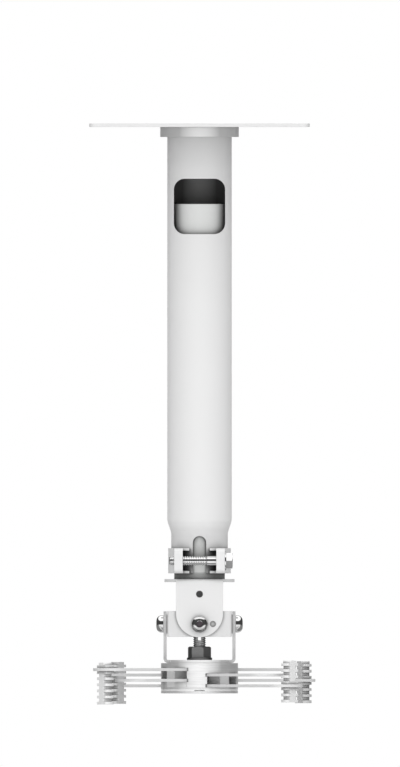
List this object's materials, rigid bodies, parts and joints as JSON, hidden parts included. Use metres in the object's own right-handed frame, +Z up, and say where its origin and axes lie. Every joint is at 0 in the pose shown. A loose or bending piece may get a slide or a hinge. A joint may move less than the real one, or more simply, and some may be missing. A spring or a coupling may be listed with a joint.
{
  "type": "projector ceiling mount",
  "caption": "Telescopic ceiling mount for a projector: square plate, round tube with a cable window, clamp collar, tilt and roll yoke, and a hub with slotted arms and grooved posts.",
  "frame": {"origin": "centre of the ceiling plate's top face, where it meets the ceiling", "axes": "+Z up into the ceiling, -Y towards the front with the cable window and the clamp bolt, +X to the right seen from the front"},
  "size_m": [0.1893, 0.1893, 0.4864],
  "materials": {
    "white_paint": "satin powder coat",
    "tube_paint": "satin powder coat",
    "arm_paint": "satin powder coat",
    "hub_alloy": "turned, satin",
    "post_alloy": "satin",
    "bright_steel": "bright plated",
    "dark_steel": "dark zinc",
    "nylon": "natural nylon"
  },
  "bodies": {
    "ceiling_mount": {"ceiling_plate": "white_paint", "collar_ring": "white_paint", "outer_tube": "white_paint", "clamp_collar": "white_paint", "clamp_bolt": "bright_steel", "clamp_washer": "bright_steel"},
    "slider": {"guide_bush": "nylon"},
    "mast": {"inner_tube": "tube_paint", "upper_yoke": "white_paint"},
    "cross": {"cross_frame": "white_paint", "roll_bolt_front": "bright_steel", "roll_bolt_back": "bright_steel", "roll_nut_front": "bright_steel", "roll_nut_back": "bright_steel", "roll_washer_front": "nylon", "roll_washer_back": "nylon", "tilt_bolt_left": "bright_steel", "tilt_bolt_right": "bright_steel", "tilt_nut_left": "bright_steel", "tilt_nut_right": "bright_steel", "tilt_washer_left": "nylon", "tilt_washer_right": "nylon"},
    "bracket": {"lower_bracket": "white_paint", "hub_bolt": "dark_steel", "hub_washer": "dark_steel", "hub_nut": "dark_steel"},
    "hub": {"hub_body": "hub_alloy", "hub_cover": "hub_alloy"},
    "arm_front_left": {"arm_front_left": "arm_paint"},
    "post_front_left": {"post_front_left": "post_alloy"},
    "arm_back_left": {"arm_back_left": "arm_paint"},
    "post_back_left": {"post_back_left": "post_alloy"},
    "arm_back_right": {"arm_back_right": "arm_paint"},
    "post_back_right": {"post_back_right": "post_alloy"},
    "arm_front_right": {"arm_front_right": "arm_paint"},
    "post_front_right": {"post_front_right": "post_alloy"}
  },
  "joints": [
    {"name": "height_slide", "type": "slide", "parent": "ceiling_mount", "child": "slider", "axis": [0, 0, 1], "range_m": [-0.15, 0.0045]},
    {"name": "mast_turn", "type": "hinge", "parent": "slider", "child": "mast", "pos_m": [0, 0, -0.1074], "axis": [0, 0, 1], "continuous": true},
    {"name": "roll", "type": "hinge", "parent": "mast", "child": "cross", "pos_m": [0, 0, -0.419], "axis": [0, 1, 0], "range_deg": [-20, 20]},
    {"name": "tilt", "type": "hinge", "parent": "cross", "child": "bracket", "pos_m": [0, 0, -0.419], "axis": [1, 0, 0], "range_deg": [-30, 30]},
    {"name": "hub_turn", "type": "hinge", "parent": "bracket", "child": "hub", "pos_m": [0, 0, -0.4644], "axis": [0, 0, 1], "continuous": true},
    {"name": "arm_slide_front_left", "type": "slide", "parent": "hub", "child": "arm_front_left", "axis": [-0.7547, -0.6561, 0], "range_m": [-0.004, 0.045]},
    {"name": "post_turn_front_left", "type": "hinge", "parent": "arm_front_left", "child": "post_front_left", "pos_m": [-0.07887, -0.06856, -0.45715], "axis": [0, 0, 1], "range_deg": [0, 90]},
    {"name": "arm_slide_back_left", "type": "slide", "parent": "hub", "child": "arm_back_left", "axis": [-0.6561, 0.7547, 0], "range_m": [-0.004, 0.045]},
    {"name": "post_turn_back_left", "type": "hinge", "parent": "arm_back_left", "child": "post_back_left", "pos_m": [-0.06856, 0.07887, -0.46168], "axis": [0, 0, 1], "range_deg": [0, 90]},
    {"name": "arm_slide_back_right", "type": "slide", "parent": "hub", "child": "arm_back_right", "axis": [0.7547, 0.6561, 0], "range_m": [-0.004, 0.045]},
    {"name": "post_turn_back_right", "type": "hinge", "parent": "arm_back_right", "child": "post_back_right", "pos_m": [0.08679, 0.07545, -0.46621], "axis": [0, 0, 1], "range_deg": [0, 90]},
    {"name": "arm_slide_front_right", "type": "slide", "parent": "hub", "child": "arm_front_right", "axis": [0.6561, -0.7547, 0], "range_m": [-0.004, 0.045]},
    {"name": "post_turn_front_right", "type": "hinge", "parent": "arm_front_right", "child": "post_front_right", "pos_m": [0.07545, -0.08679, -0.47074], "axis": [0, 0, 1], "range_deg": [0, 90]}
  ]
}
